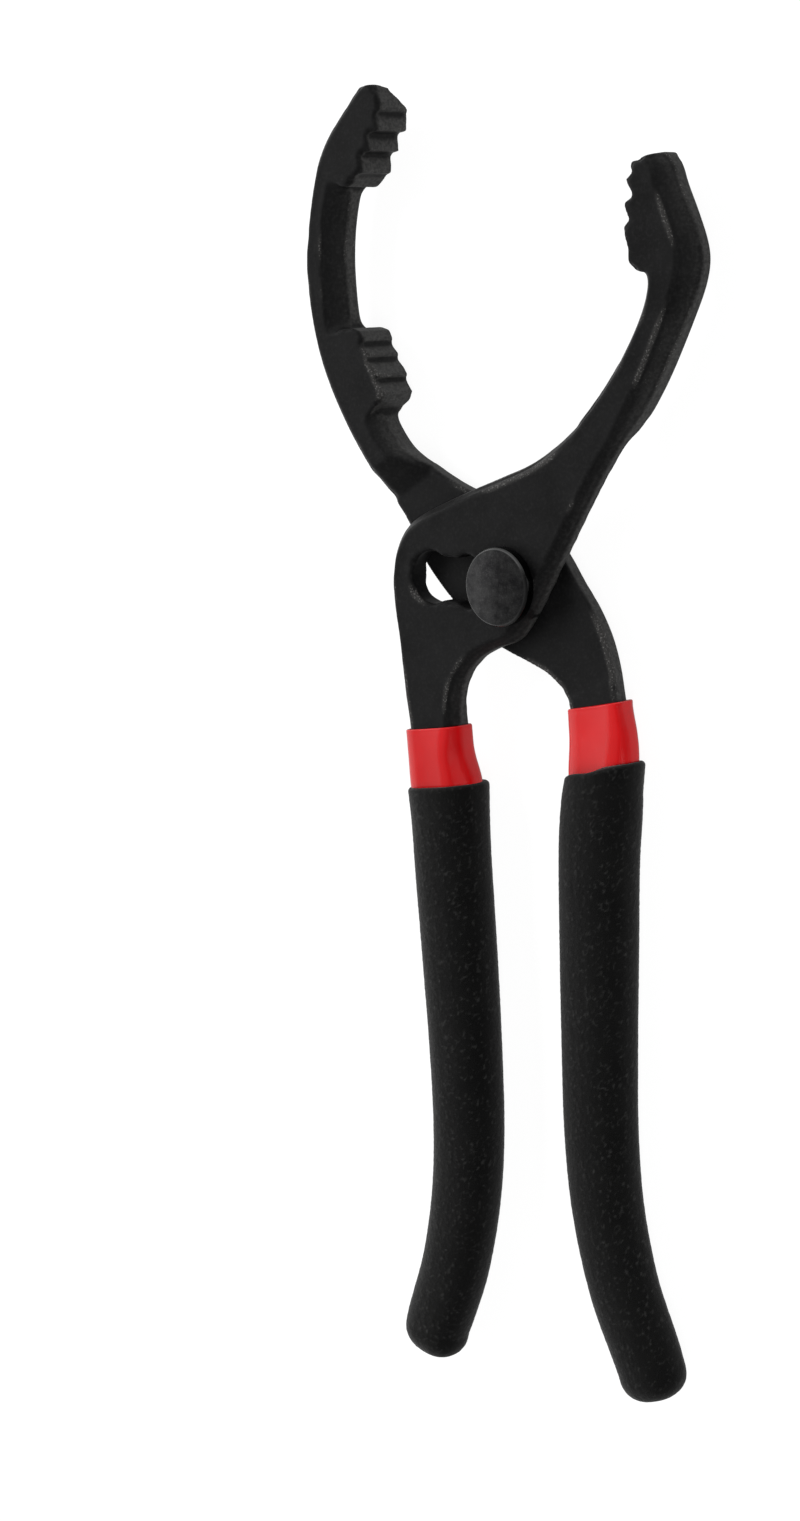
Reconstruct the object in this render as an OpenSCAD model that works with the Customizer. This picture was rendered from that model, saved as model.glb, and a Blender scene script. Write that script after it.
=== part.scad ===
/* [Steel levers] */
// overall thickness of the forged jaws
jaw_t = 8.8; // [7.5:0.1:10]
// gap between the two lapped joint plates
lap_gap = 0.1; // [0.04:0.02:0.3]
// height of a forged bevel, as a share of the local thickness
bevel_share = 0.307; // [0.2:0.01:0.4]
// smallest edge break left on the lapped side, as a share of a full bevel
edge_share = 0.12; // [0.08:0.01:0.3]
// thickness of the handle cores under the grips
core_t = 6.4; // [5:0.1:7.5]

/* [Slip joint] */
// distance between neighbouring seats of the slot
slot_pitch = 8.5; // [7:0.1:8.6]
// number of seats in the slot
seats = 3; // [2:1:3]
// radius of each seat
seat_r = 4.7; // [4.4:0.05:5]
// half width of the straight neck between seats
neck_half = 3.9; // [3.2:0.05:4.2]
// radius of the hole in the rear lever
bore_r = 4.05; // [3.6:0.05:4.3]
// running clearance of the bolt
fit = 0.05; // [0.02:0.01:0.1]

/* [Bolt and nut] */
// radius of the round bolt head
head_r = 7; // [6:0.1:8]
// height of the bolt head
head_h = 2.8; // [2:0.1:4]
// chamfer round the head's rim
head_chamfer = 0.5; // [0.2:0.1:1]
// rise of the head's low dome
head_dome = 0.3; // [0.1:0.1:0.6]
// radius of the threaded end
thread_r = 3; // [2.5:0.1:3.5]
// distance across the flats of the nut
nut_af = 12; // [10:0.5:13]
// height of the nut
nut_h = 2.8; // [2:0.1:4]

/* [Handles] */
// thickness of the red inner dip
dip_t = 0.55; // [0.3:0.05:0.9]
// width of a grip at its thickest
grip_w = 15; // [13:0.1:15.5]
// thickness of a grip at its thickest
grip_t = 12.2; // [10.5:0.1:13]
// squareness of the grip's section, 2 is an ellipse
grip_square = 2.3; // [2:0.1:3.5]

/* [Hidden] */
$fn = 96;
steps = 4;
sides = 24;
half = jaw_t / 2;
lap = lap_gap / 2;
core = core_t / 2;
core_w = 10;
core_bevel = 2.2;
core_first = 2;
core_last = 9;
mid_z = half + lap + nut_h;
cut = 2 * jaw_t;
tip_room = 60;
slot_len = (seats - 1) * slot_pitch;
dome_r = head_r * 0.55;
dome_fall = head_dome / 4;
steel = [0.16, 0.16, 0.17];
dark = [0.09, 0.09, 0.09];
red = [0.82, 0.12, 0.14];
bolt_grey = [0.38, 0.38, 0.39];

// Control rows run from jaw tip to handle end:
// [left x, left y, right x, right y], [left bevel, right bevel, front z, rear z]
front_bare_rows = [
  [[26.9, 73.4, 30.9, 74.5], [1.0, 1.2, half, -half]],
  [[26.9, 72.2, 32.7, 72.3], [1.0, 2.1, half, -half]],
  [[27.6, 70.0, 33.4, 70.2], [1.0, 2.4, half, -half]],
  [[28.6, 66.0, 35.5, 66.0], [1.0, 2.6, half, -half]],
  [[29.0, 61.5, 37.7, 61.4], [1.0, 2.8, half, -half]],
  [[29.0, 57.5, 38.8, 57.4], [1.0, 2.8, half, -half]],
  [[28.7, 53.8, 38.3, 53.6], [1.0, 2.8, half, -half]],
  [[27.8, 49.3, 36.6, 49.2], [1.0, 2.5, half, -half]],
  [[24.8, 43.0, 33.8, 43.2], [1.0, 2.2, half, -half]],
  [[20.9, 36.8, 30.5, 36.6], [1.0, 1.9, half, -half]],
  [[16.2, 30.9, 26.9, 31.0], [1.0, 1.5, half, -half]],
  [[11.4, 26.0, 23.8, 26.2], [0.9, 1.2, half, lap]],
  [[5.0, 21.7, 20.4, 21.2], [0.8, 1.2, half, lap]],
  [[-2.0, 18.8, 16.9, 15.4], [0.8, 1.2, half, lap]],
  [[-10.0, 15.6, 13.2, 8.8], [0.8, 1.2, half, lap]],
  [[-18.6, 11.8, 10.2, 3.6], [0.8, 1.2, half, lap]],
  [[-23.8, 8.6, 7.8, -0.8], [0.8, 1.2, half, lap]],
  [[-26.6, 4.0, 5.2, -5.2], [0.8, 1.2, half, lap]],
  [[-27.3, -1.5, 1.6, -9.6], [0.8, 1.2, half, lap]],
  [[-26.8, -6.5, -3.4, -11.7], [0.8, 1.2, half, lap]],
  [[-25.7, -12.0, -7.6, -14.3], [0.8, 1.2, half, lap]],
  [[-24.8, -18.0, -10.4, -18.2], [0.8, 1.6, half, lap]],
  [[-24.0, -23.0, -11.5, -22.6], [0.8, 1.6, half, lap]],
  [[-23.1, -28.5, -11.5, -26.5], [1.2, 1.3, half, -0.8]],
  [[-22.8, -33.7, -11.6, -31.8], [1.4, 2.2, 4.3, -2.2]],
  [[-22.6, -39.0, -9.6, -37.0], [1.6, 3.6, 4.1, -3.6]],
  [[-21.6, -45.8, -9.7, -44.2], [2.0, 2.6, 3.7, -3.4]]
];

rear_bare_rows = [
  [[-36.0, 85.9, -31.2, 86.4], [0.8, 0.8, half, -half]],
  [[-39.2, 82.3, -32.6, 81.6], [0.8, 1.5, half, -half]],
  [[-43.2, 77.8, -35.6, 75.6], [0.8, 2.6, half, -half]],
  [[-45.8, 73.4, -38.0, 71.6], [0.8, 3.0, half, -half]],
  [[-47.2, 68.8, -39.4, 67.6], [0.8, 3.0, half, -half]],
  [[-48.3, 62.6, -40.5, 62.0], [0.8, 3.0, half, -half]],
  [[-48.8, 56.0, -40.9, 56.2], [0.8, 3.0, half, -half]],
  [[-48.5, 49.6, -40.4, 49.8], [0.8, 3.0, half, -half]],
  [[-47.2, 43.2, -39.3, 43.4], [0.8, 3.0, half, -half]],
  [[-45.2, 37.2, -37.2, 37.8], [0.8, 2.8, half, -half]],
  [[-42.2, 31.2, -34.4, 32.4], [0.8, 2.0, half, -half]],
  [[-38.4, 25.2, -30.9, 27.2], [0.8, 1.4, half, -half]],
  [[-35.2, 21.0, -27.6, 23.1], [0.8, 1.2, half, -half]],
  [[-32.2, 17.2, -24.6, 21.2], [0.8, 1.2, half, -half]],
  [[-30.0, 13.0, -20.9, 19.2], [0.8, 1.0, -lap, -half]],
  [[-26.6, 9.0, -17.6, 17.7], [0.8, 1.0, -lap, -half]],
  [[-21.9, 1.5, -12.6, 15.8], [0.8, 0.8, -lap, -half]],
  [[-15.1, -5.0, -5.0, 14.0], [0.8, 0.8, -lap, -half]],
  [[-9.3, -9.6, 3.0, 11.9], [0.8, 0.8, -lap, -half]],
  [[-3.9, -12.0, 8.6, 6.6], [0.8, 0.8, -lap, -half]],
  [[1.4, -13.6, 12.6, 1.4], [0.8, 0.8, -lap, -half]],
  [[6.0, -15.2, 16.2, -3.0], [0.8, 0.8, -lap, -half]],
  [[8.9, -17.0, 19.2, -8.2], [0.8, 0.8, -lap, -half]],
  [[10.6, -18.8, 21.0, -13.6], [0.8, 0.8, -lap, -half]],
  [[11.7, -21.0, 22.1, -18.5], [0.8, 0.8, 0.4, -half]],
  [[12.9, -26.4, 24.2, -23.7], [1.2, 2.6, 1.4, -4.3]],
  [[13.3, -32.4, 25.3, -29.4], [1.8, 3.4, 2.6, -4.0]],
  [[14.2, -39.4, 25.0, -37.6], [2.0, 2.6, 3.2, -3.5]]
];

// control row at which the red dip starts
front_dip = 23;
rear_dip = 24;

// slopes of the left jaw's tip: [y at the front face, degrees of lean]
tip_cuts = [[86.6, 12], [89.0, 37]];

// [centre x, centre y, share of full size, lean of the section] from mouth to closed end
front_grip_rows = [
  [-16.2, -38.2, 1.05, 4], [-15.5, -46.0, 1.0, 0], [-14.8, -54.0, 0.99, 0],
  [-13.0, -71.0, 0.97, 0], [-11.4, -88.0, 0.94, 0], [-10.5, -103.0, 0.92, 0],
  [-11.0, -116.0, 0.9, 0], [-13.2, -129.0, 0.88, 0], [-16.2, -138.5, 0.86, 0],
  [-17.9, -143.2, 0.83, 0], [-18.9, -146.0, 0.72, 0], [-19.6, -147.8, 0.46, 0]
];
rear_grip_rows = [
  [19.4, -30.7, 0.97, 20], [19.1, -38.5, 1.0, 2], [18.8, -47.0, 0.99, 0],
  [19.2, -64.0, 0.97, 0], [19.7, -81.0, 0.94, 0], [20.4, -96.0, 0.92, 0],
  [22.2, -110.0, 0.9, 0], [26.0, -123.5, 0.88, 0], [30.8, -133.6, 0.86, 0],
  [32.9, -138.0, 0.83, 0], [34.2, -140.7, 0.72, 0], [35.1, -142.6, 0.46, 0]
];

function mix(a, b, t) = a * (1 - t) + b * t;
function limit(v, lo, hi) = max(lo, min(hi, v));
function pick(p, i) = p[limit(i, 0, len(p) - 1)];
function blend(a, b, c, d, t) =
  0.5 * (2 * b + (c - a) * t + (2 * a - 5 * b + 4 * c - d) * t * t
         + (3 * b - a - 3 * c + d) * t * t * t);

// smooth outline, straight changes of bevel and level
function refine(rows) = [
  for (i = [0 : len(rows) - 2]) for (k = [0 : steps - 1])
    let (t = k / steps)
    [blend(pick(rows, i - 1)[0], rows[i][0], rows[i + 1][0], pick(rows, i + 2)[0], t),
     mix(rows[i][1], rows[i + 1][1], t)],
  rows[len(rows) - 1]
];
function smooth(p) = [
  for (i = [0 : len(p) - 2]) for (k = [0 : steps - 1])
    blend(pick(p, i - 1), p[i], p[i + 1], pick(p, i + 2), k / steps),
  p[len(p) - 1]
];
function tail(p, first) = [for (i = [first : len(p) - 1]) p[i]];
function unit(v) = v / norm(v);

// eight-cornered forged section across one row
function section(r) =
  let (a = [r[0][0], r[0][1]], b = [r[0][2], r[0][3]], u = unit(b - a),
       bl = r[1][0], br = r[1][1], zf = r[1][2], zr = r[1][3],
       rise = bevel_share * (zf - zr),
       kf = limit(zf / half, edge_share, 1), kr = limit(-zr / half, edge_share, 1),
       fl = a + u * bl * kf, fr = b - u * br * kf, rl = a + u * bl * kr, rr = b - u * br * kr)
  [[fr[0], fr[1], zf], [fl[0], fl[1], zf],
   [a[0], a[1], zf - rise * kf], [a[0], a[1], zr + rise * kr],
   [rl[0], rl[1], zr], [rr[0], rr[1], zr],
   [b[0], b[1], zr + rise * kr], [b[0], b[1], zf - rise * kf]];

// rounded section of a grip, square to its centre line but for its own lean
function grip_section(p, i) =
  let (step = pick(p, i + 1) - pick(p, i - 1), turn = atan2(step[0], -step[1]) + p[i][3],
       side = [cos(turn), sin(turn)], k = p[i][2])
  [for (j = [0 : sides - 1])
    let (c = cos(360 * j / sides), s = sin(360 * j / sides),
         w = sign(c) * pow(abs(c), 2 / grip_square) * k * grip_w / 2,
         h = sign(s) * pow(abs(s), 2 / grip_square) * k * grip_t / 2)
    [p[i][0] + side[0] * w, p[i][1] + side[1] * w, h]];

// closed skin over a list of sections with equal point counts
module loft(rings) {
  n = len(rings);
  m = len(rings[0]);
  polyhedron(
    points = [for (r = rings) for (p = r) p],
    faces = concat(
      [[for (j = [0 : m - 1]) j]],
      [[for (j = [m - 1 : -1 : 0]) (n - 1) * m + j]],
      [for (i = [0 : n - 2]) for (j = [0 : m - 1]) [i * m + j, (i + 1) * m + j, i * m + (j + 1) % m]],
      [for (i = [0 : n - 2]) for (j = [0 : m - 1])
        [(i + 1) * m + j, (i + 1) * m + (j + 1) % m, i * m + (j + 1) % m]]));
}

function grown(r, d) =
  let (a = [r[0][0], r[0][1]], b = [r[0][2], r[0][3]], u = unit(b - a) * d)
  [[a[0] - u[0], a[1] - u[1], b[0] + u[0], b[1] + u[1]],
   [r[1][0], r[1][1], r[1][2] + d, r[1][3] - d]];
function shifted(r, v) = [[r[0][0] + v[0], r[0][1] + v[1], r[0][2] + v[0], r[0][3] + v[1]], r[1]];
function end_step(p) =
  let (a = p[len(p) - 2][0], b = p[len(p) - 1][0])
  unit([b[0] + b[2] - a[0] - a[2], b[1] + b[3] - a[1] - a[3]]);

// handle core, centred in its grip
function core_row(p, i) =
  let (step = pick(p, i + 1) - pick(p, i - 1), along = unit([step[0], step[1]]),
       side = [-along[1], along[0]] * core_w / 2)
  [[p[i][0] - side[0], p[i][1] - side[1], p[i][0] + side[0], p[i][1] + side[1]],
   [core_bevel, core_bevel, core, -core]];
function cores(p) = [for (i = [core_first : core_last]) core_row(p, i)];

front_fine = refine(concat(front_bare_rows, cores(front_grip_rows)));
rear_fine = refine(concat(rear_bare_rows, cores(rear_grip_rows)));

// handle core wrapped in the dip, closed just past the steel's end
function dipped(fine, first) =
  let (core_rows = tail(fine, first * steps))
  concat([for (r = core_rows) grown(r, dip_t)],
         [shifted(grown(fine[len(fine) - 1], dip_t), end_step(fine) * 2 * dip_t)]);

module steel_body(fine) {
  loft([for (r = fine) section(r)]);
}

module pad(points) {
  translate([0, 0, -half])
    linear_extrude(height = jaw_t)
      polygon(points);
}

module slot_cut() {
  for (i = [0 : seats - 1])
    translate([-i * slot_pitch, 0, -cut / 2])
      cylinder(r = seat_r, h = cut);
  translate([-slot_len, -neck_half, -cut / 2])
    cube([slot_len, 2 * neck_half, cut]);
}

// Front plate, right jaw and left handle core
module front_lever() {
  color(steel) translate([0, 0, mid_z])
    difference() {
      union() {
        steel_body(front_fine);
        pad([[25.6, 72.9], [25.5, 71.9], [26.4, 71.1], [24.7, 70.0], [26.3, 67.4], [24.5, 66.0],
             [25.9, 63.3], [24.4, 62.1], [24.8, 60.8], [25.7, 58.8], [25.8, 56.2], [26.8, 55.1],
             [29.2, 54.8], [32.0, 54.4], [32.0, 62.0], [30.2, 68.6], [29.2, 73.3]]);
      }
      slot_cut();
    }
}

// the left jaw's tip rounds back towards the rear in two slopes
module tip_slopes() {
  for (slope = tip_cuts)
    translate([-tip_room, slope[0], half])
      rotate([-slope[1], 0, 0])
        translate([0, 0, -tip_room])
          cube([tip_room, tip_room, 2 * tip_room]);
}

// Rear plate, left jaw and right handle core
module rear_lever() {
  color(steel) translate([0, 0, mid_z])
    difference() {
      union() {
        steel_body(rear_fine);
        pad([[-33.0, 86.3], [-31.2, 86.0], [-30.2, 83.6], [-30.0, 82.0], [-31.0, 81.3],
             [-30.5, 78.3], [-32.7, 78.0], [-33.1, 77.4], [-32.5, 74.8], [-34.3, 74.5], [-34.7, 73.9],
             [-34.1, 71.0], [-35.8, 70.6], [-36.2, 70.0], [-37.6, 68.4],
             [-43.6, 68.9], [-43.4, 73.0], [-40.0, 79.0], [-36.0, 84.0]]);
        pad([[-43.6, 42.6], [-36.4, 43.5], [-34.6, 43.0], [-33.7, 41.4], [-34.6, 40.8],
             [-32.1, 38.7], [-33.1, 38.0], [-29.8, 35.2], [-30.8, 34.4], [-28.7, 32.2],
             [-29.6, 30.6], [-31.4, 29.2], [-32.4, 27.6], [-36.0, 27.0], [-41.0, 35.0]]);
      }
      tip_slopes();
      translate([0, 0, -cut / 2])
        cylinder(r = bore_r, h = cut);
    }
}

// Shoulder bolt: round head, flatted neck in the slot, round shank, threaded end
module pivot_bolt() {
  top = mid_z + half + lap;
  shank_end = mid_z - half - lap;
  color(bolt_grey) {
    translate([0, 0, top])
      rotate_extrude()
        polygon([[0, 0], [head_r, 0], [head_r, head_h - head_chamfer - head_dome],
                 [head_r - head_chamfer, head_h - head_dome],
                 [dome_r, head_h - dome_fall], [0, head_h]]);
    translate([0, 0, mid_z])
      intersection() {
        cylinder(r = seat_r - fit, h = half + lap);
        translate([-seat_r, fit - neck_half, 0])
          cube([2 * seat_r, 2 * (neck_half - fit), half + lap]);
      }
    translate([0, 0, shank_end])
      cylinder(r = bore_r - fit, h = mid_z - shank_end);
    cylinder(r = thread_r, h = shank_end);
  }
}

// Thin hexagonal nut on the threaded end
module pivot_nut() {
  color(bolt_grey)
    difference() {
      cylinder(r = nut_af / 2 / cos(30), h = nut_h, $fn = 6);
      translate([0, 0, -cut / 2])
        cylinder(r = thread_r, h = cut);
    }
}

module inner_sleeve(fine, first) {
  color(red) translate([0, 0, mid_z])
    difference() {
      loft([for (r = dipped(fine, first)) section(r)]);
      steel_body(fine);
    }
}

module grip(rows, fine, first) {
  path = smooth(rows);
  color(dark) translate([0, 0, mid_z])
    difference() {
      loft([for (i = [0 : len(path) - 1]) grip_section(path, i)]);
      loft([for (r = dipped(fine, first)) section(r)]);
    }
}

module left_inner_sleeve() {
  inner_sleeve(front_fine, front_dip);
}

module right_inner_sleeve() {
  inner_sleeve(rear_fine, rear_dip);
}

module left_grip() {
  grip(front_grip_rows, front_fine, front_dip);
}

module right_grip() {
  grip(rear_grip_rows, rear_fine, rear_dip);
}

front_lever();
rear_lever();
pivot_bolt();
pivot_nut();
left_inner_sleeve();
right_inner_sleeve();
left_grip();
right_grip();
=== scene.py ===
"""Looks of the oil filter pliers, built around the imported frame."""

import math

import bpy
import numpy as np
from mathutils import Matrix, Vector, noise
from mathutils.bvhtree import BVHTree


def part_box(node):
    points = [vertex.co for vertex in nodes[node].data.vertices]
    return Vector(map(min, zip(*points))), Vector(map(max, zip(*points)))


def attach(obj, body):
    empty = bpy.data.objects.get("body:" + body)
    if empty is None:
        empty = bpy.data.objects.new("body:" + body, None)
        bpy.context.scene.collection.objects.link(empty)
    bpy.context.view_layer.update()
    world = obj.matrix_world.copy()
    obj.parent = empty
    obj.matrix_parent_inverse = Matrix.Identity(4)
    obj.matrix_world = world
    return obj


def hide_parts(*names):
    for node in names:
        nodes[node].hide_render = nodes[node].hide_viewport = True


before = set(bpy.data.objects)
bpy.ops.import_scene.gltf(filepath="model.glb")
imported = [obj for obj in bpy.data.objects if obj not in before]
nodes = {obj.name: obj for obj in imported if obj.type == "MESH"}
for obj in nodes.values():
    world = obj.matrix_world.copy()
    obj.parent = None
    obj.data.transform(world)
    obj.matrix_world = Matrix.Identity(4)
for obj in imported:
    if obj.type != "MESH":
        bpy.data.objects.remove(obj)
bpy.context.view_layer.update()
scene = bpy.context.scene
MM = 0.001

LEVER_LOW, LEVER_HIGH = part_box("front_lever")
HEAD_LOW, HEAD_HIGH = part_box("pivot_bolt")
NUT_LOW, NUT_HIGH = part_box("pivot_nut")
MID_Z = (LEVER_LOW[2] + LEVER_HIGH[2]) / 2


# ---------------------------------------------------------------- camera

VIEW_TURN = 41.8  # degrees towards +X from straight above
VIEW_LIFT = 11.1  # degrees towards the jaws
VIEW_ROLL = 0.28  # degrees, raising the camera's right side
VIEW_DISTANCE = 0.54
VIEW_TARGET = Vector((-0.0281, -0.0355, MID_Z))
LENS = 69.15
SENSOR_HEIGHT = 36


def make_camera():
    turn, lift, roll = (math.radians(a) for a in (VIEW_TURN, VIEW_LIFT, VIEW_ROLL))
    back = Vector((math.sin(turn) * math.cos(lift), math.sin(lift), math.cos(turn) * math.cos(lift)))
    level = Vector((math.cos(turn), 0, -math.sin(turn)))
    upright = back.cross(level)
    right = level * math.cos(roll) + upright * math.sin(roll)
    up = upright * math.cos(roll) - level * math.sin(roll)
    data = bpy.data.cameras.new("camera")
    data.sensor_fit = "VERTICAL"
    data.sensor_height = SENSOR_HEIGHT
    data.lens = LENS
    data.clip_start = 0.01
    camera = bpy.data.objects.new("camera", data)
    place = Matrix((right, up, back)).transposed().to_4x4()
    place.translation = VIEW_TARGET + back * VIEW_DISTANCE
    camera.matrix_world = place
    scene.collection.objects.link(camera)
    scene.camera = camera


# ---------------------------------------------------------------- shader helpers


def new_material(name):
    material = bpy.data.materials.new(name)
    material.use_nodes = True
    return material, material.node_tree


def add(tree, kind, values=None, **settings):
    """One shader node, with its settings and the values of its sockets."""
    item = tree.nodes.new(kind)
    for key, value in settings.items():
        setattr(item, key, value)
    for key, value in (values or {}).items():
        item.inputs[key].default_value = value
    return item


def noise_of(tree, scale, detail=3.0, rough=0.55):
    """Noise in the frame's own metres."""
    place = add(tree, "ShaderNodeTexCoord").outputs["Object"]
    texture = add(tree, "ShaderNodeTexNoise", {"Scale": scale, "Detail": detail, "Roughness": rough})
    tree.links.new(place, texture.inputs["Vector"])
    return texture.outputs["Fac"]


def attribute(tree, name):
    return add(tree, "ShaderNodeAttribute", attribute_name=name).outputs["Fac"]


def steps(tree, value, low, high, out_low=0.0, out_high=1.0):
    """Smooth ramp of a value between two levels."""
    ramp = add(tree, "ShaderNodeMapRange", interpolation_type="SMOOTHSTEP")
    for key, number in (("From Min", low), ("From Max", high), ("To Min", out_low), ("To Max", out_high)):
        ramp.inputs[key].default_value = number
    tree.links.new(value, ramp.inputs["Value"])
    return ramp.outputs["Result"]


def math_of(tree, operation, a, b):
    item = add(tree, "ShaderNodeMath", operation=operation)
    for socket, value in zip(item.inputs, (a, b)):
        if isinstance(value, (int, float)):
            socket.default_value = value
        else:
            tree.links.new(value, socket)
    return item.outputs[0]


def blend_colour(tree, share, first, second):
    """Mix of two colours, each a fixed colour or another node's output."""
    item = add(tree, "ShaderNodeMix", data_type="RGBA")
    tree.links.new(share, item.inputs[0])
    for socket, value in ((item.inputs[6], first), (item.inputs[7], second)):
        if isinstance(value, tuple):
            socket.default_value = (*value, 1)
        else:
            tree.links.new(value, socket)
    return item.outputs[2]


def bump(tree, heights):
    """Chain of bump nodes from (height output, depth in metres, strength)."""
    normal = None
    for height, depth, strength in heights:
        item = add(tree, "ShaderNodeBump", {"Distance": depth, "Strength": strength})
        tree.links.new(height, item.inputs["Height"])
        if normal:
            tree.links.new(normal, item.inputs["Normal"])
        normal = item.outputs["Normal"]
    return normal


def surface(tree, links, **constants):
    """Sets the Principled shader's fixed values and joins its patterned sockets."""
    shader = tree.nodes["Principled BSDF"]
    for key, value in constants.items():
        shader.inputs[key.replace("_", " ")].default_value = value
    for key, output in links.items():
        tree.links.new(output, shader.inputs[key])


# ---------------------------------------------------------------- materials


def forged_steel():
    """Black oxide over forged steel: satin, mottled, with lighter sheared sides that carry painted shade in
    the bottoms of grooves, and a few grey specks worn on its edges.
    """
    material, tree = new_material("forged_black_steel")
    cloud = noise_of(tree, 130, 4, 0.6)
    grain = noise_of(tree, 1700, 4, 0.65)
    speck = noise_of(tree, 2600, 3, 0.7)
    patch = noise_of(tree, 75, 1, 0.5)
    edge = attribute(tree, "edge")
    side = attribute(tree, "side")
    oxide = steps(tree, cloud, 0.3, 0.7)
    base = blend_colour(tree, oxide, (0.0038, 0.0038, 0.0039), (0.0060, 0.0060, 0.0062))
    base = blend_colour(tree, steps(tree, grain, 0.45, 0.8, 0, 0.4), base, (0.018, 0.018, 0.018))
    # lighter tone of the sheared sides, with painted shade where the side map is cut back in grooves
    sheared_tone_and_groove_shade = math_of(tree, "MULTIPLY", side, steps(tree, grain, 0.3, 0.7, 0.35, 1))
    base = blend_colour(tree, sheared_tone_and_groove_shade, base, (0.044, 0.0435, 0.0425))
    rubbed = math_of(tree, "MULTIPLY", edge, steps(tree, patch, 0.46, 0.68))
    base = blend_colour(tree, steps(tree, rubbed, 0.1, 1, 0, 0.6), base, (0.035, 0.034, 0.033))
    worn = math_of(tree, "MULTIPLY", rubbed, steps(tree, speck, 0.53, 0.64))
    worn = steps(tree, worn, 0.25, 0.6)
    colour = blend_colour(tree, worn, base, (0.11, 0.108, 0.105))
    gloss = steps(tree, cloud, 0.3, 0.7, 0.38, 0.50)
    surface(
        tree,
        {
            "Base Color": colour,
            "Roughness": gloss,
            "Metallic": steps(tree, worn, 0, 1, 0, 0.6),
            "Normal": bump(tree, [(cloud, 0.00012, 0.35), (grain, 0.00004, 0.5)]),
        },
        Specular_IOR_Level=0.12,
    )
    return material


def bolt_steel():
    """Dark turned steel with fine rings round the pivot axis."""
    material, tree = new_material("dark_turned_steel")
    place = add(tree, "ShaderNodeTexCoord").outputs["Object"]
    rings = add(
        tree, "ShaderNodeTexWave", {"Scale": 900.0, "Distortion": 1.5, "Detail": 2.0},
        wave_type="RINGS", rings_direction="Z",
    )
    tree.links.new(place, rings.inputs["Vector"])
    stain = noise_of(tree, 420, 5, 0.65)
    grain = noise_of(tree, 2600, 3, 0.6)
    edge = attribute(tree, "edge")
    base = blend_colour(tree, steps(tree, stain, 0.3, 0.72), (0.029, 0.029, 0.030), (0.064, 0.064, 0.064))
    base = blend_colour(tree, steps(tree, grain, 0.5, 0.75, 0, 0.35), base, (0.13, 0.13, 0.13))
    base = blend_colour(tree, steps(tree, edge, 0.3, 0.9, 0, 0.7), base, (0.20, 0.20, 0.20))
    surface(
        tree,
        {
            "Base Color": base,
            "Roughness": steps(tree, stain, 0.3, 0.7, 0.17, 0.28),
            "Normal": bump(tree, [(rings.outputs["Fac"], 0.00001, 0.18), (grain, 0.00002, 0.35)]),
        },
        Metallic=1.0,
    )
    return material


def red_vinyl():
    """Glossy dipped vinyl with slow ripples and a faint colour drift."""
    material, tree = new_material("red_dipped_vinyl")
    drift = noise_of(tree, 90, 2, 0.5)
    fine = noise_of(tree, 700, 3, 0.5)
    colour = blend_colour(tree, steps(tree, drift, 0.3, 0.7), (0.37, 0.0025, 0.0035), (0.42, 0.0035, 0.005))
    surface(
        tree,
        {
            "Base Color": colour,
            "Roughness": steps(tree, fine, 0.3, 0.7, 0.14, 0.22),
            "Normal": bump(tree, [(drift, 0.0004, 0.25), (fine, 0.00003, 0.25)]),
        },
        Specular_IOR_Level=0.6,
        Subsurface_Weight=0.08,
        Subsurface_Scale=0.0008,
    )
    return material


def black_grip():
    """Matte rough black vinyl: the grain is in the mesh, a finer one in the shader."""
    material, tree = new_material("black_rough_vinyl")
    drift = noise_of(tree, 160, 3, 0.55)
    grain = noise_of(tree, 2300, 4, 0.7)
    crest = attribute(tree, "grain")
    mottle = steps(tree, drift, 0.3, 0.7)
    base = blend_colour(tree, mottle, (0.0026, 0.0026, 0.0026), (0.0035, 0.0035, 0.0034))
    base = blend_colour(tree, steps(tree, crest, 0.52, 0.95, 0, 0.85), base, (0.019, 0.019, 0.0185))
    surface(
        tree,
        {
            "Base Color": base,
            "Roughness": steps(tree, grain, 0.3, 0.7, 0.58, 0.78),
            "Normal": bump(tree, [(grain, 0.00008, 0.6)]),
        },
        Specular_IOR_Level=0.12,
        Sheen_Weight=0.09,
        Sheen_Roughness=0.45,
    )
    return material


# ---------------------------------------------------------------- mesh helpers


def make_object(name, points, faces, material):
    mesh = bpy.data.meshes.new(name)
    mesh.from_pydata([tuple(p) for p in points], [], faces)
    mesh.validate()
    mesh.polygons.foreach_set("use_smooth", [True] * len(mesh.polygons))
    mesh.materials.append(material)
    piece = bpy.data.objects.new(name, mesh)
    scene.collection.objects.link(piece)
    return piece


def set_attribute(mesh, name, values):
    layer = mesh.attributes.new(name, "FLOAT", "POINT")
    layer.data.foreach_set("value", np.asarray(values, dtype=np.float32))


def points_of(mesh):
    flat = np.empty(len(mesh.vertices) * 3)
    mesh.vertices.foreach_get("co", flat)
    return flat.reshape(-1, 3)


def put_points(mesh, points):
    mesh.vertices.foreach_set("co", points.ravel())
    mesh.update()


def normals_of(mesh):
    flat = np.empty(len(mesh.vertices) * 3, dtype=np.float32)
    mesh.vertex_normals.foreach_get("vector", flat)
    return flat.reshape(-1, 3)


def relax(points, pairs, rounds, share=0.5):
    """Moves each row of values towards the mean of its neighbours, a number of times."""
    ends = np.concatenate([pairs, pairs[:, ::-1]])
    number = np.maximum(np.bincount(ends[:, 0], minlength=len(points)), 1)
    for _ in range(rounds):
        sums = [np.bincount(ends[:, 0], column[ends[:, 1]], len(points)) for column in points.T]
        points = points * (1 - share) + np.stack(sums, axis=1) / number[:, None] * share
    return points


# ---------------------------------------------------------------- forged levers

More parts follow.
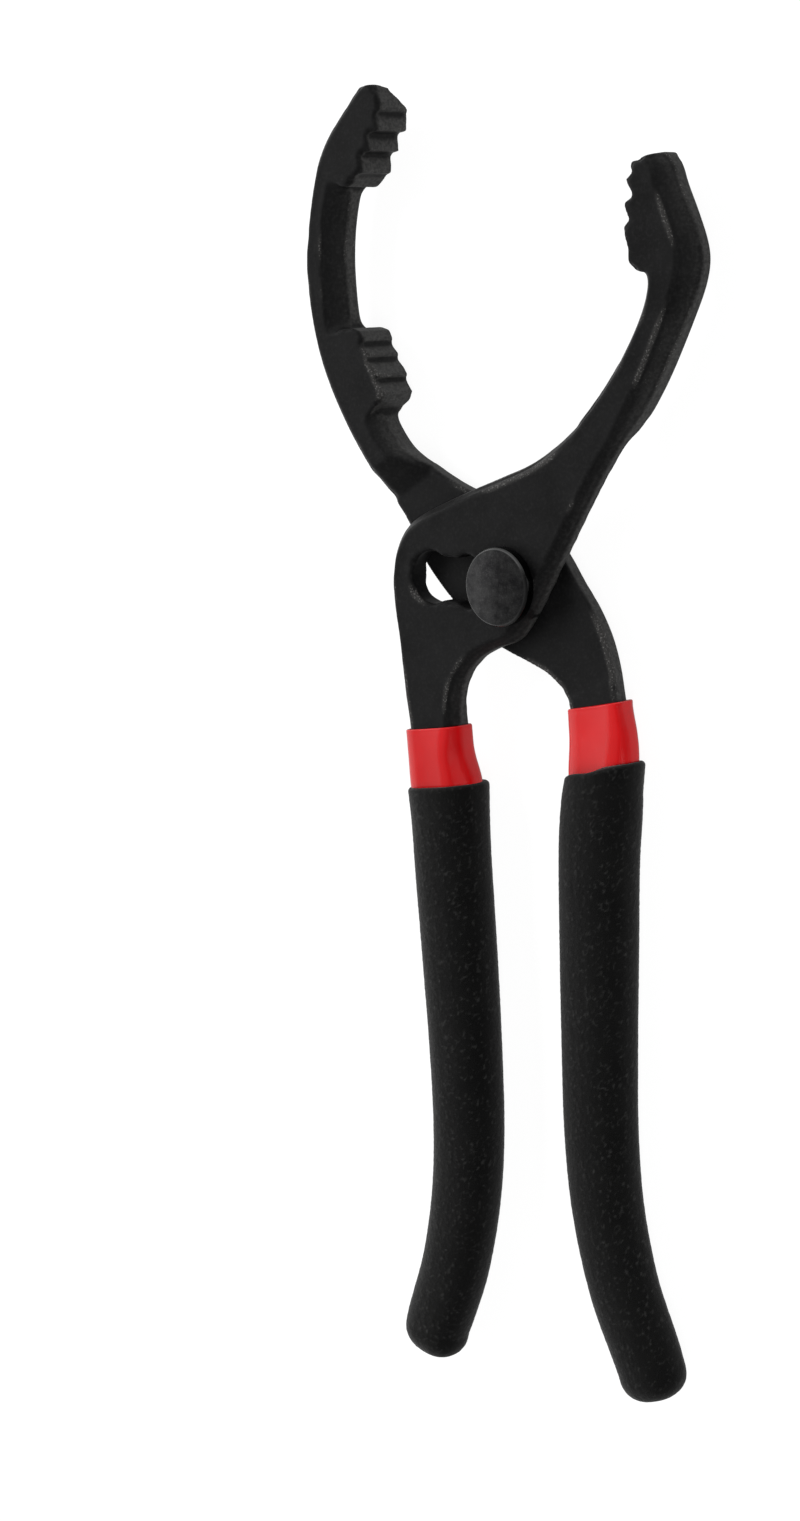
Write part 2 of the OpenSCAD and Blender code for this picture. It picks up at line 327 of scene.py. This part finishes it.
WELD_REACH = 0.002 * MM
VOXEL = 0.35 * MM
SOFTEN_ROUNDS = 2  # rounds the square edges a little
FORGE_ROUNDS = 75  # rounds the wide forged bevels much more
OBLIQUE_TILT = (0.3, 0.93)  # how much of a bevel's normal lies along Z
OBLIQUE_ROUNDS = 14  # spread the mark of the bevels over their surroundings
OBLIQUE_FROM = 0.25  # level of that mark at which the forged rounding starts
OBLIQUE_SPAN = 0.2  # and how far above it the rounding is full
BLEND_ROUNDS = 4  # even out the change from one rounding to the other
SPREAD_ROUNDS = 14  # make the smooth surface that edges and grooves are measured from
EDGE_FULL = 0.09 * MM  # height above the spread surface that counts as a full edge
GROOVE_PAINTED_SHADE = 0.1  # painted shade: share of the sides' lighter tone that is left in the bottoms of grooves
FORGE_WAVE = 0.05 * MM
WAVE_SCALE = 190  # forging waves to the metre
SLOT_ROOM = (-23 * MM, 5.5 * MM, 5.4 * MM)  # low x, high x and half height round the slot and hole


def remeshed(node_name):
    """An even voxel mesh of one CAD node, and the pairs of points that its edges join."""
    source = bpy.data.objects.new("source", nodes[node_name].data.copy())
    scene.collection.objects.link(source)
    weld = source.modifiers.new("weld", "WELD")
    weld.merge_threshold = WELD_REACH
    remesh = source.modifiers.new("remesh", "REMESH")
    remesh.mode = "VOXEL"
    remesh.voxel_size = VOXEL
    shaped = source.evaluated_get(bpy.context.evaluated_depsgraph_get())
    mesh = bpy.data.meshes.new_from_object(shaped)
    bpy.data.objects.remove(source)
    pairs = np.empty(len(mesh.edges) * 2, dtype=int)
    mesh.edges.foreach_get("vertices", pairs)
    return mesh, pairs.reshape(-1, 2)


def forged_lever(node_name, piece_name, body, material):
    """The CAD lever with rounded forged edges, slow forging waves, a map of its worn edges and a map of its
    sheared sides, with painted shade in the bottoms of grooves.
    """
    mesh, pairs = remeshed(node_name)
    points = relax(points_of(mesh), pairs, SOFTEN_ROUNDS)
    put_points(mesh, points)
    tilt = np.abs(normals_of(mesh)[:, 2:])
    bevel = (tilt > OBLIQUE_TILT[0]) & (tilt < OBLIQUE_TILT[1])
    oblique = relax(bevel.astype(float), pairs, OBLIQUE_ROUNDS)
    share = np.clip((oblique - OBLIQUE_FROM) / OBLIQUE_SPAN, 0, 1)
    share = relax(share, pairs, BLEND_ROUNDS)
    points = points + share * (relax(points, pairs, FORGE_ROUNDS) - points)
    put_points(mesh, points)

    normals = normals_of(mesh)
    spread = relax(points, pairs, SPREAD_ROUNDS)
    height = np.einsum("ij,ij->i", points - spread, normals)
    edge = np.clip(height / EDGE_FULL, 0, 1)
    low, high, reach = SLOT_ROOM
    outside = (points[:, 0] < low) | (points[:, 0] > high) | (np.abs(points[:, 1]) > reach)
    # painted shade: the sides' lighter tone is cut back in grooves and hollows, so they come out darker as
    # if shaded
    hollow = np.clip(1 + height / EDGE_FULL, GROOVE_PAINTED_SHADE, 1)
    upright = (1 - np.abs(normals[:, 2])) ** 2 * outside * hollow
    waves = np.array([noise.noise(Vector(p) * WAVE_SCALE) for p in points])
    sunk = FORGE_WAVE * (0.5 + waves[:, None]) * (1 - edge[:, None])
    put_points(mesh, points - normals * sunk)

    mesh.polygons.foreach_set("use_smooth", [True] * len(mesh.polygons))
    mesh.materials.clear()
    mesh.materials.append(material)
    set_attribute(mesh, "edge", edge)
    set_attribute(mesh, "side", upright)
    piece = bpy.data.objects.new(piece_name, mesh)
    scene.collection.objects.link(piece)
    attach(piece, body)
    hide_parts(node_name)


# ---------------------------------------------------------------- handle covers


class Handle:
    """Rays against one CAD handle cover, in rings along its own axis."""

    REACH = 14 * MM
    ROW = 2 * MM
    TOP_ROOM = 4.5 * MM  # from the ends of the cover's box to the first and last centre
    TIP_ROOM = 3.5 * MM
    EVEN_ROUNDS = 6
    FIRST_ROWS = 3  # the axis goes on before the first centre at the mean step of these rows
    ROWS_BEFORE = 5
    ROWS_AFTER = 2.5
    HALF_STEP = 1.5 * MM  # half the length that the axis's direction is taken over
    MOUTH_DEPTH = 13 * MM  # a distance at which the cover is there at every angle
    MOUTH_STEP = 0.01 * MM
    MOUTH_SOFT = 3

    def __init__(self, node_name, around):
        mesh = nodes[node_name].data
        corners = [v.co for v in mesh.vertices]
        self.tree = BVHTree.FromPolygons(corners, [p.vertices for p in mesh.polygons])
        low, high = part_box(node_name)
        self.angles = [2 * math.pi * k / around for k in range(around)]
        rows = np.arange(high[1] - self.TOP_ROOM, low[1] + self.TIP_ROOM, -self.ROW)
        middles = np.array([self.middle(low, high, y) for y in rows])
        self.centres = relax_line(middles, self.EVEN_ROUNDS)
        first, last = self.centres[0], self.centres[-1]
        start = first + (first - self.centres[self.FIRST_ROWS]) / self.FIRST_ROWS * self.ROWS_BEFORE
        end = last + (last - self.centres[-2]) * self.ROWS_AFTER
        self.centres = np.vstack([start, self.centres, end])
        lengths = np.linalg.norm(np.diff(self.centres, axis=0), axis=1)
        self.along = np.concatenate([[0], np.cumsum(lengths)])

    def middle(self, low, high, y):
        """Centre of the cover's section at one height."""
        x, z = (low[0] + high[0]) / 2, MID_Z
        for _ in range(2):
            left = self.tree.ray_cast(Vector((low[0] - MM, y, z)), Vector((1, 0, 0)))[0]
            right = self.tree.ray_cast(Vector((high[0] + MM, y, z)), Vector((-1, 0, 0)))[0]
            x = (left.x + right.x) / 2
            under = self.tree.ray_cast(Vector((x, y, low[2] - MM)), Vector((0, 0, 1)))[0]
            over = self.tree.ray_cast(Vector((x, y, high[2] + MM)), Vector((0, 0, -1)))[0]
            z = (under.z + over.z) / 2
        return x, y, z

    def place(self, distance):
        """Centre, direction of the axis and direction across it, at a distance along it."""
        def at(d):
            return np.array([np.interp(d, self.along, self.centres[:, k]) for k in range(3)])
        after = min(distance + self.HALF_STEP, self.along[-1])
        step = at(after) - at(max(distance - self.HALF_STEP, 0))
        step = step[:2] / np.linalg.norm(step[:2])
        return Vector(at(distance)), Vector((*step, 0)), Vector((-step[1], step[0], 0))

    def radius(self, distance, angle, inner=False):
        """Radius of the cover from outside, or of its hollow from inside; None past its ends."""
        centre, _, side = self.place(distance)
        way = side * math.cos(angle) + Vector((0, 0, math.sin(angle)))
        origin = centre if inner else centre + way * self.REACH
        hit = self.tree.ray_cast(origin, way if inner else -way, self.REACH)[0]
        return None if hit is None else (hit - centre).length

    def ring(self, distance, inner=False):
        radii = [self.radius(distance, angle, inner) for angle in self.angles]
        return np.array([np.nan if r is None else r for r in radii])

    def mouth(self):
        """Distance along the axis at which the cover starts, for each angle."""
        starts = []
        for angle in self.angles:
            above, below = 0.0, self.MOUTH_DEPTH
            while below - above > self.MOUTH_STEP:
                half = (above + below) / 2
                if self.radius(half, angle) is None:
                    above = half
                else:
                    below = half
            starts.append(below)
        return round_off(np.array(starts), self.MOUTH_SOFT)


def relax_line(points, rounds):
    for _ in range(rounds):
        points = np.vstack([points[:1], (points[:-2] + 2 * points[1:-1] + points[2:]) / 4, points[-1:]])
    return points


def round_off(radii, spread):
    """Softens a ring's corners over a number of neighbouring points."""
    weights = np.exp(-0.5 * (np.arange(-2 * spread, 2 * spread + 1) / spread) ** 2)
    padded = np.concatenate([radii[-2 * spread:], radii, radii[:2 * spread]])
    return np.convolve(padded, weights / weights.sum(), "valid")


def fill(radii):
    """Fills the few gaps of a ring from its neighbours."""
    good = ~np.isnan(radii)
    if good.all():
        return radii
    places = np.arange(len(radii))
    return np.interp(places, places[good], radii[good], period=len(radii))


RING_STEP = 1.0 * MM  # between the rings that are measured on the CAD cover
RING_ROUNDS = 2
MOUTH_ROOM = 0.3 * MM  # from the lowest point of the mouth to the first of those rings
TIP_STEP = 0.1 * MM
TIP_ROOM = 0.02 * MM
HOLLOW_ROOM = 0.05 * MM  # from the mouth's edge to the top of the hollow
RIM_POINTS = 6
GRAIN_NOISE = ((0.65, 1500), (0.5, 2900), (0.12, 400))  # strength and scale of each noise
GRAIN_SUNK = 0.4  # keeps most of the grain's crests inside the CAD cover
CREST_SPAN, CREST_MIDDLE = 0.6, 0.5  # bring the grain to about 0 to 1 for the shader


def cover(node_name, piece_name, body, material, look):
    """One dipped cover: outer skin, rounded lip, hollow and domed end, all from rays on the CAD cover."""
    handle = Handle(node_name, look["around"])
    starts = handle.mouth()
    top = starts.max() + MOUTH_ROOM
    tip = handle.along[-1]
    while np.isnan(handle.ring(tip)).all():
        tip -= TIP_STEP
    dome, power, lip, around = look["dome"], look["dome_power"], look["lip"], look["around"]
    known = np.arange(top, tip - dome, RING_STEP)
    outer = np.array([round_off(fill(handle.ring(d)), look["soft"]) for d in known])
    hollow = np.array([round_off(fill(handle.ring(d, True)), look["soft"]) for d in known])
    outer, hollow = relax_line(outer, RING_ROUNDS), relax_line(hollow, RING_ROUNDS)
    hollow = np.minimum(hollow, outer - look["wall"])

    def size(table, distance, k):
        return float(np.interp(distance, known, table[:, k]))

    def skin(fraction, k):
        distance = starts[k] + lip + (tip - TIP_ROOM - starts[k] - lip) * fraction
        past = min(max((distance - (tip - dome)) / dome, 0), 1)
        return distance, size(outer, distance, k) * (1 - past ** power) ** (1 / power)

    def rim(turn, k):
        inset = lip * (1 - math.cos(turn))
        return starts[k] + lip * (1 - math.sin(turn)), size(outer, starts[k], k) - inset

    def inside(fraction, k):
        distance = starts[k] + HOLLOW_ROOM + (tip - look["hollow_end"] - starts[k]) * fraction
        return distance, size(hollow, distance, k)

    count = int((tip - top) / look["pitch"])
    turns = np.linspace(math.pi / 2, 0, RIM_POINTS)[:-1]
    chain = [[inside(f, k) for k in range(around)] for f in np.linspace(1, 0, look["hollow_rings"])]
    hidden = len(chain)
    chain += [[rim(t, k) for k in range(around)] for t in turns]
    chain += [[skin(f, k) for k in range(around)] for f in np.linspace(0, 1, count) ** look["crowd"]]
    points = []
    crests = []
    for number, ring in enumerate(chain):
        for k, (distance, radius) in enumerate(ring):
            centre, _, side = handle.place(distance)
            way = side * math.cos(handle.angles[k]) + Vector((0, 0, math.sin(handle.angles[k])))
            spot = centre + way * radius
            crest = 0.0
            if number >= hidden and look["grain"]:
                crest = sum(strength * noise.noise(spot * scale) for strength, scale in GRAIN_NOISE)
                spot = spot + way * (look["grain"] * (crest - GRAIN_SUNK))
            points.append(spot)
            crests.append(crest * CREST_SPAN + CREST_MIDDLE)
    faces = [tuple(range(around))]
    for row in range(0, (len(chain) - 1) * around, around):
        for k in range(around):
            after = (k + 1) % around
            faces.append((row + k, row + around + k, row + around + after, row + after))
    faces.append(tuple(reversed(range((len(chain) - 1) * around, len(chain) * around))))
    piece = make_object(piece_name, points, faces, material)
    set_attribute(piece.data, "grain", crests)
    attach(piece, body)
    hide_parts(node_name)


# ---------------------------------------------------------------- bolt and nut

HEAD_RADIUS = (HEAD_HIGH[0] - HEAD_LOW[0]) / 2
HEAD_BASE = LEVER_HIGH[2] + 0.05 * MM
HEAD_DOME = 0.45 * MM
HEAD_CHAMFER = 0.32 * MM
HEAD_BREAK = 0.3 * MM  # chamfer under the head
HEAD_RINGS = 26
BOLT_AROUND = 160
NECK_RADIUS = 4.65 * MM
NECK_FLAT = 3.85 * MM
SHANK_RADIUS = 4.0 * MM
THREAD_RADIUS = 3.0 * MM
THREAD_PITCH = 1.0 * MM
THREAD_START = 0.5 * MM
THREAD_DEPTHS = (0.45 * MM, 0.12 * MM, 0.12 * MM, 0.45 * MM)  # over one turn of the thread
NUT_FLAT = (NUT_HIGH[1] - NUT_LOW[1]) / 2
NUT_TOP = NUT_HIGH[2]
NUT_CHAMFER = 0.985  # share of the flats' radius at which the corners' chamfer starts
NUT_SLOPE = math.tan(math.radians(30))
NUT_SINK = 0.42 * MM  # width of the bore's countersink
NUT_AROUND = 192
EDGE_ROUND = 0.12 * MM


def spun(piece_name, profile, around, material, closed=False):
    """Solid turned round the pivot axis: each profile row is (radius, height, edge wear)."""
    points, edges = [], []
    for radius, height, edge in profile:
        for k in range(around):
            angle = 2 * math.pi * k / around
            size = radius(angle) if callable(radius) else radius
            level = height(angle) if callable(height) else height
            points.append((size * math.cos(angle), size * math.sin(angle), level))
            edges.append(edge)
    faces = []
    rows = len(profile)
    for row in range(rows if closed else rows - 1):
        near = row * around
        far = (row + 1) % rows * around
        for k in range(around):
            after = (k + 1) % around
            faces.append((near + k, near + after, far + after, far + k))
    if not closed:
        faces.append(tuple(reversed(range(around))))
        faces.append(tuple(range((rows - 1) * around, rows * around)))
    piece = make_object(piece_name, points, faces, material)
    set_attribute(piece.data, "edge", edges)
    return piece


def threaded_end(shank_end):
    """Profile of the bolt's end: turning centre, chamfer and the grooves of the thread."""
    profile = [
        (0.7 * MM, 0.32 * MM, 0),
        (0.9 * MM, 0.12 * MM, 0.3),
        (THREAD_RADIUS - 0.75 * MM, 0.08 * MM, 0.2),
        (THREAD_RADIUS - 0.6 * MM, 0.12 * MM, 0.6),
    ]
    parts = len(THREAD_DEPTHS)
    for part in range(int((shank_end - THREAD_START) / THREAD_PITCH * parts)):
        radius = THREAD_RADIUS - THREAD_DEPTHS[part % parts]
        profile.append((radius, THREAD_START + part * THREAD_PITCH / parts, 0.2))
    return profile


def domed_head():
    """Profile of the head from its upper chamfer inwards to the middle of its dome."""
    profile = []
    high_edge = HEAD_HIGH[2] - HEAD_DOME
    low_edge = HEAD_HIGH[2] - HEAD_DOME - HEAD_CHAMFER
    for step in range(5):
        share = step / 4
        inset = EDGE_ROUND * share ** 2
        profile.append((HEAD_RADIUS - inset, low_edge - EDGE_ROUND * (1 - share) * 1.4, 0.5))
    for step in range(6):
        share = step / 5
        inset = HEAD_CHAMFER + EDGE_ROUND * share * 1.6
        drop = EDGE_ROUND * 0.5 * (1 - share) ** 2
        profile.append((HEAD_RADIUS - inset, high_edge - drop, 0.8 - 0.5 * share))
    face = HEAD_RADIUS - HEAD_CHAMFER - EDGE_ROUND * 1.6
    for ring in range(1, HEAD_RINGS):
        share = 1 - ring / HEAD_RINGS
        profile.append((face * share, high_edge + HEAD_DOME * (1 - share * share), 0))
    return profile


def pivot_bolt(material):
    """Domed and chamfered head, flatted neck, shank and a threaded end with a chamfered tip."""
    def neck(angle):
        return min(NECK_RADIUS, NECK_FLAT / max(abs(math.sin(angle)), 0.01))

    shank_end = NUT_TOP + 0.02 * MM
    shank = [
        (THREAD_RADIUS - 0.1 * MM, shank_end, 0),
        (SHANK_RADIUS - 0.2 * MM, shank_end, 0.3),
        (SHANK_RADIUS, shank_end + 0.2 * MM, 0),
        (SHANK_RADIUS, MID_Z, 0),
        (neck, MID_Z, 0.2),
        (neck, MID_Z + 0.1 * MM, 0),
        (neck, HEAD_BASE, 0),
        (HEAD_RADIUS - HEAD_BREAK, HEAD_BASE, 0),
        (HEAD_RADIUS, HEAD_BASE + HEAD_BREAK, 0),
    ]
    profile = threaded_end(shank_end) + shank + domed_head()
    piece = spun("pivot_bolt_turned", profile, BOLT_AROUND, material)
    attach(piece, "bolt")
    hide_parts("pivot_bolt")


def pivot_nut(material):
    """Hexagonal nut with both faces chamfered and a countersunk bore."""
    sixth = math.pi / 3
    chamfer_start = NUT_FLAT * NUT_CHAMFER

    def hexagon(angle):
        return NUT_FLAT / math.cos(angle % sixth - sixth / 2)

    def shoulder(angle):
        return hexagon(angle) - EDGE_ROUND

    def drop(angle):
        return max(shoulder(angle) - chamfer_start, 0) * NUT_SLOPE + EDGE_ROUND * 0.4

    bore = THREAD_RADIUS + 0.02 * MM
    profile = [
        (bore, 0.45 * MM, 0),
        (bore + NUT_SINK, 0.03 * MM, 0.5),
        (bore + 0.55 * MM, 0, 0.3),
        (chamfer_start - 0.6 * MM, 0, 0),
        (chamfer_start, 0, 0.4),
        (shoulder, drop, 0.6),
        (hexagon, lambda a: drop(a) + EDGE_ROUND, 0.5),
        (hexagon, NUT_TOP / 2, 0),
        (hexagon, lambda a: NUT_TOP - drop(a) - EDGE_ROUND, 0.5),
        (shoulder, lambda a: NUT_TOP - drop(a), 0.6),
        (chamfer_start, NUT_TOP, 0.3),
        (bore + NUT_SINK, NUT_TOP, 0.3),
        (bore, NUT_TOP - 0.4 * MM, 0),
    ]
    piece = spun("pivot_nut_hex", profile, NUT_AROUND, material, closed=True)
    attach(piece, "bolt")
    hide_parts("pivot_nut")


# ---------------------------------------------------------------- stage

FLOOR_HALF = 3.0
FLOOR_DROP = 0.0002
WORLD_STOPS = (  # place from -X to +X, and the sky's brightness there
    (0.0, 1.1), (0.14, 1.0), (0.2, 0.34), (0.5, 0.26), (0.66, 0.10), (0.83, 0.12), (1.0, 0.09),
)
WORLD_BELOW = (0.35, 0.35, 0.35)
WORLD_BEYOND = (0.7, 0.7, 0.7)  # on the jaws' side


def make_floor():
    material, tree = new_material("pale_floor")
    shade = blend_colour(tree, noise_of(tree, 3, 2), (0.11, 0.11, 0.11), (0.13, 0.13, 0.13))
    surface(tree, {"Base Color": shade}, Roughness=0.9, Specular_IOR_Level=0.1,
            Emission_Color=(1, 1, 1, 1), Emission_Strength=0.92)
    corners = [(-1, -1), (1, -1), (1, 1), (-1, 1)]
    points = [(x * FLOOR_HALF, y * FLOOR_HALF, 0) for x, y in corners]
    floor = make_object("floor", points, [(0, 1, 2, 3)], material)
    floor.visible_glossy = False
    floor.location.z = -FLOOR_DROP


def make_world():
    """A sky that is bright at the left and the far side; the camera itself sees plain white."""
    world = bpy.data.worlds.new("studio")
    scene.world = world
    world.use_nodes = True
    tree = world.node_tree
    place = add(tree, "ShaderNodeTexCoord").outputs["Generated"]
    parts = add(tree, "ShaderNodeSeparateXYZ")
    tree.links.new(place, parts.inputs[0])
    shift = steps(tree, parts.outputs["X"], -1, 1)
    shift.node.interpolation_type = "LINEAR"
    ramp = add(tree, "ShaderNodeValToRGB")
    tree.links.new(shift, ramp.inputs["Fac"])
    ramp.color_ramp.elements[0].position = WORLD_STOPS[0][0]
    ramp.color_ramp.elements[1].position = WORLD_STOPS[-1][0]
    for position, _ in WORLD_STOPS[1:-1]:
        ramp.color_ramp.elements.new(position)
    for element, (_, level) in zip(ramp.color_ramp.elements, WORLD_STOPS):
        element.color = (level, level, level, 1)
    below = steps(tree, parts.outputs["Z"], -0.7, -0.4, 1, 0)
    shades = blend_colour(tree, below, ramp.outputs["Color"], WORLD_BELOW)
    beyond = steps(tree, parts.outputs["Y"], 0.5, 0.75)
    shades = blend_colour(tree, beyond, shades, WORLD_BEYOND)
    light = tree.nodes["Background"]
    tree.links.new(shades, light.inputs["Color"])
    seen = add(tree, "ShaderNodeBackground", {"Color": (1, 1, 1, 1), "Strength": 1.0})
    path = add(tree, "ShaderNodeLightPath")
    pick = add(tree, "ShaderNodeMixShader")
    tree.links.new(path.outputs["Is Camera Ray"], pick.inputs[0])
    tree.links.new(light.outputs[0], pick.inputs[1])
    tree.links.new(seen.outputs[0], pick.inputs[2])
    tree.links.new(pick.outputs[0], tree.nodes["World Output"].inputs["Surface"])


def area_light(name, direction, distance, size, power):
    data = bpy.data.lights.new(name, "AREA")
    data.shape = "DISK"
    data.size = size
    data.energy = power
    lamp = bpy.data.objects.new(name, data)
    way = Vector(direction).normalized()
    lamp.location = VIEW_TARGET + way * distance
    lamp.rotation_euler = way.to_track_quat("Z", "Y").to_euler()
    lamp.visible_glossy = False
    scene.collection.objects.link(lamp)


# ---------------------------------------------------------------- build

make_camera()
STEEL = forged_steel()
BOLT = bolt_steel()
RED = red_vinyl()
GRIP = black_grip()

GRIP_LOOK = {
    "around": 150, "pitch": 0.33 * MM, "crowd": 1.0, "soft": 2, "lip": 0.75 * MM, "wall": 0.55 * MM,
    "dome": 5.2 * MM, "dome_power": 2.3, "hollow_end": 8 * MM, "hollow_rings": 24, "grain": 0.07 * MM,
}
DIP_LOOK = {
    "around": 140, "pitch": 0.8 * MM, "crowd": 1.6, "soft": 3, "lip": 0.32 * MM, "wall": 0.45 * MM,
    "dome": 3.0 * MM, "dome_power": 2.3, "hollow_end": 6 * MM, "hollow_rings": 24, "grain": 0.0,
}

forged_lever("front_lever", "front_forging", "front", STEEL)
forged_lever("rear_lever", "rear_forging", "rear", STEEL)
cover("left_inner_sleeve", "left_red_dip", "front", RED, DIP_LOOK)
cover("right_inner_sleeve", "right_red_dip", "rear", RED, DIP_LOOK)
cover("left_grip", "left_black_grip", "front", GRIP, GRIP_LOOK)
cover("right_grip", "right_black_grip", "rear", GRIP, GRIP_LOOK)

pivot_bolt(BOLT)
pivot_nut(BOLT)

make_floor()
make_world()
area_light("key", (-0.6, 0.45, 0.66), 0.9, 0.5, 10)
area_light("fill", (0.75, -0.1, 0.65), 1.0, 0.7, 8)
scene.view_settings.view_transform = "Standard"
